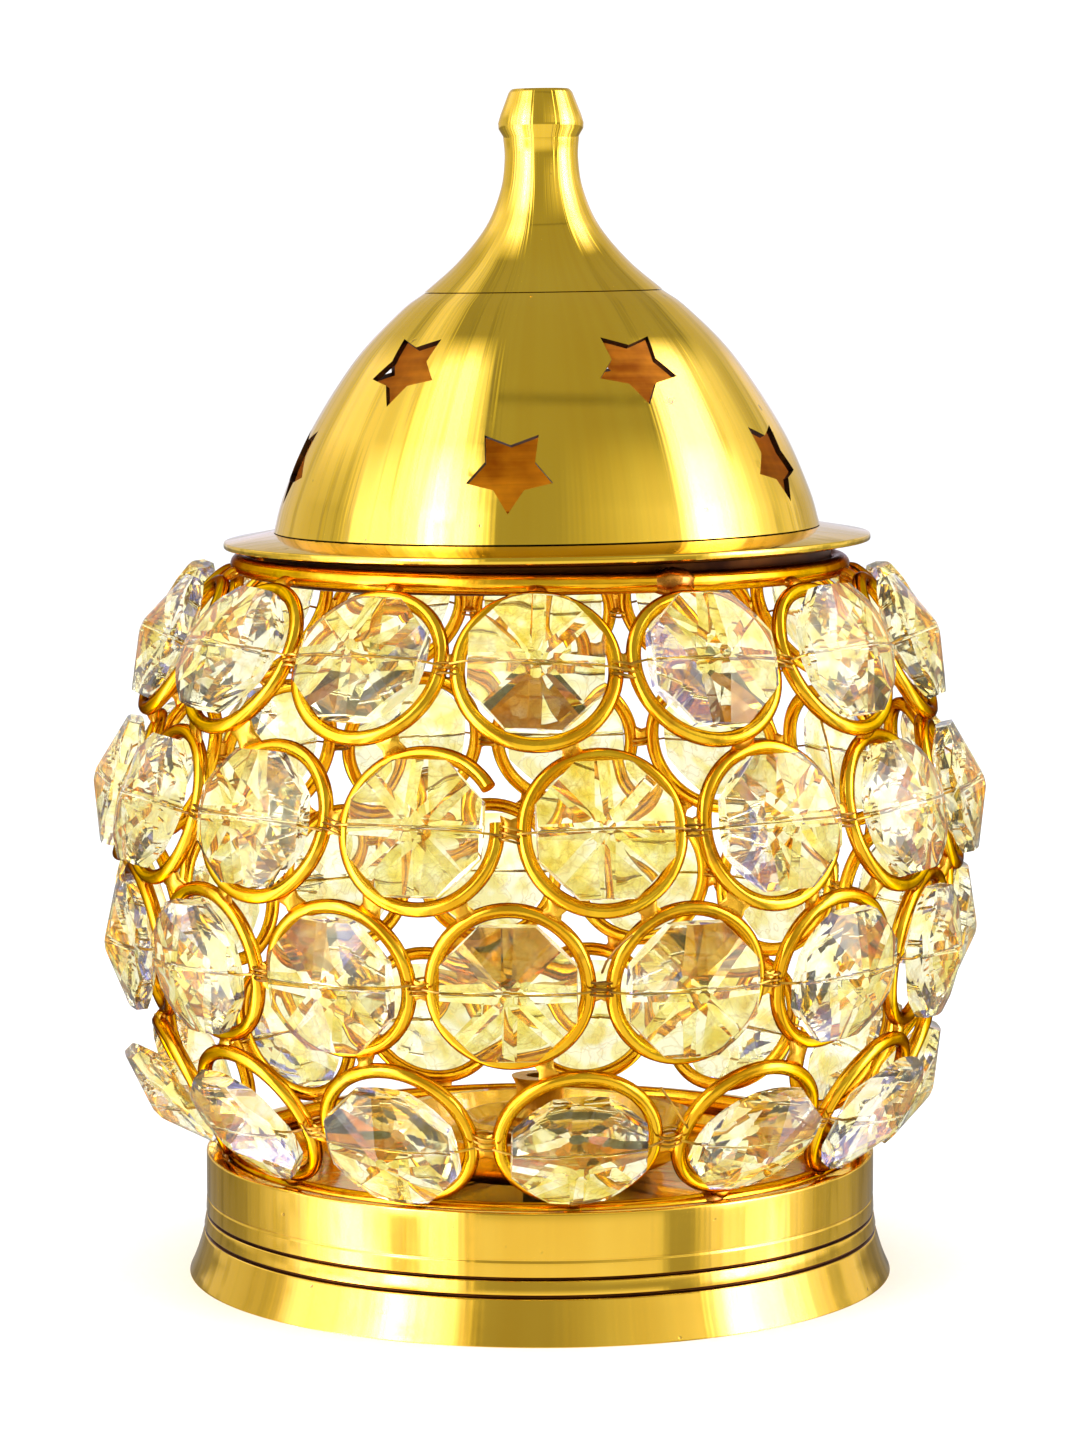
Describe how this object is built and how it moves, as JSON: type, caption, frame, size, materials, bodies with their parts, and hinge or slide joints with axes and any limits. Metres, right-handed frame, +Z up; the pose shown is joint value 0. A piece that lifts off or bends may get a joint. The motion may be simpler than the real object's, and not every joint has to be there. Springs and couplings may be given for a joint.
{
  "type": "incense burner",
  "caption": "Tabletop incense burner: turned base and dish, lift-off beaded wire cage with crystal lenses, and a lift-off domed lid with star vents and a hollow chimney tip.",
  "frame": {"origin": "middle of the face the base stands on", "axes": "+Z up from the foot to the chimney tip; -Y is the front"},
  "size_m": [0.0953, 0.0952, 0.1267],
  "materials": {
    "turned_brass": "bright turned, clear lacquered",
    "lid_brass": "polished, spun",
    "cup_brass": "satin, slightly tarnished",
    "gilt_wire": "bright gilt plated",
    "crystal": "clear, cut and polished",
    "fixing_steel": "plain zinc plated"
  },
  "bodies": {
    "base": {"base_stand": "turned_brass", "burner_cup": "cup_brass", "cup_washer": "fixing_steel", "cup_screw": "fixing_steel"},
    "holder": {"holder_tray": "cup_brass", "holder_tube": "cup_brass"},
    "cage": {"cage_bottom_hoop": "gilt_wire", "cage_top_hoop": "gilt_wire", "ring_row_1": "gilt_wire", "ring_row_2": "gilt_wire", "ring_row_3": "gilt_wire", "ring_row_4": "gilt_wire", "crystals_row_1_1": "crystal", "crystals_row_1_2": "crystal", "crystals_row_1_3": "crystal", "crystals_row_1_4": "crystal", "crystals_row_1_5": "crystal", "crystals_row_2_1": "crystal", "crystals_row_2_2": "crystal", "crystals_row_2_3": "crystal", "crystals_row_2_4": "crystal", "crystals_row_2_5": "crystal", "crystals_row_3_1": "crystal", "crystals_row_3_2": "crystal", "crystals_row_3_3": "crystal", "crystals_row_3_4": "crystal", "crystals_row_3_5": "crystal", "crystals_row_4_1": "crystal", "crystals_row_4_2": "crystal", "crystals_row_4_3": "crystal", "crystals_row_4_4": "crystal", "crystals_row_4_5": "crystal"},
    "lid": {"lid_flange": "lid_brass", "lid_dome": "lid_brass", "lid_finial": "lid_brass"}
  },
  "joints": [
    {"name": "cage_lift", "type": "slide", "parent": "base", "child": "cage", "axis": [0, 0, 1], "range_m": [0, 0.06]},
    {"name": "lid_lift", "type": "slide", "parent": "cage", "child": "lid", "axis": [0, 0, 1], "range_m": [0, 0.045]},
    {"name": "holder_lift", "type": "slide", "parent": "base", "child": "holder", "axis": [0, 0, 1], "range_m": [0, 0.03]}
  ]
}
